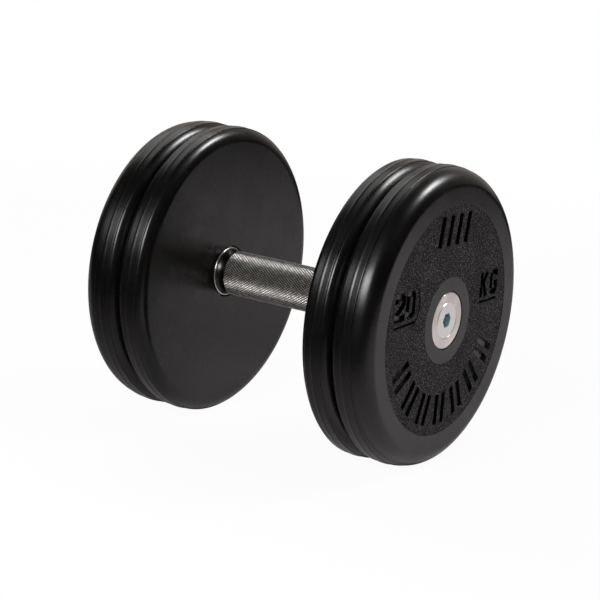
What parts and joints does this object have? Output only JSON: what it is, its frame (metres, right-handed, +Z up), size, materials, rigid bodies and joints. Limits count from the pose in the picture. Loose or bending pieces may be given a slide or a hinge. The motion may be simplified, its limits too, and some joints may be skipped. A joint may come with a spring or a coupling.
{
  "type": "round fixed-weight dumbbell",
  "caption": "Round rubber-coated dumbbell with stepped disc heads, a knurled chromed grip and end washers held by countersunk socket screws",
  "frame": {"origin": "The middle of the grip on the bar's axis, which is also the centre of the whole part.", "axes": "+X runs along the bar to the right head, +Y runs away from the viewer across the discs, and +Z is up with the weight marks on the right end upright."},
  "size_m": [0.2488, 0.2206, 0.2206],
  "materials": {
    "chrome": "satin",
    "rubber": "satin",
    "core_iron": "matte",
    "bush_steel": "satin",
    "key_steel": "satin",
    "washer_steel": "satin",
    "screw_steel": "matte"
  },
  "bodies": {
    "root": {"handle_bar": "chrome", "right_inner_core": "core_iron", "right_inner_jacket": "rubber", "right_inner_bush": "bush_steel", "right_outer_core": "core_iron", "right_outer_jacket": "rubber", "right_outer_bush": "bush_steel", "right_drive_key": "key_steel", "right_end_washer": "washer_steel", "right_socket_screw": "screw_steel", "left_inner_core": "core_iron", "left_inner_jacket": "rubber", "left_inner_bush": "bush_steel", "left_outer_core": "core_iron", "left_outer_jacket": "rubber", "left_outer_bush": "bush_steel", "left_drive_key": "key_steel", "left_end_washer": "washer_steel", "left_socket_screw": "screw_steel"}
  },
  "joints": []
}
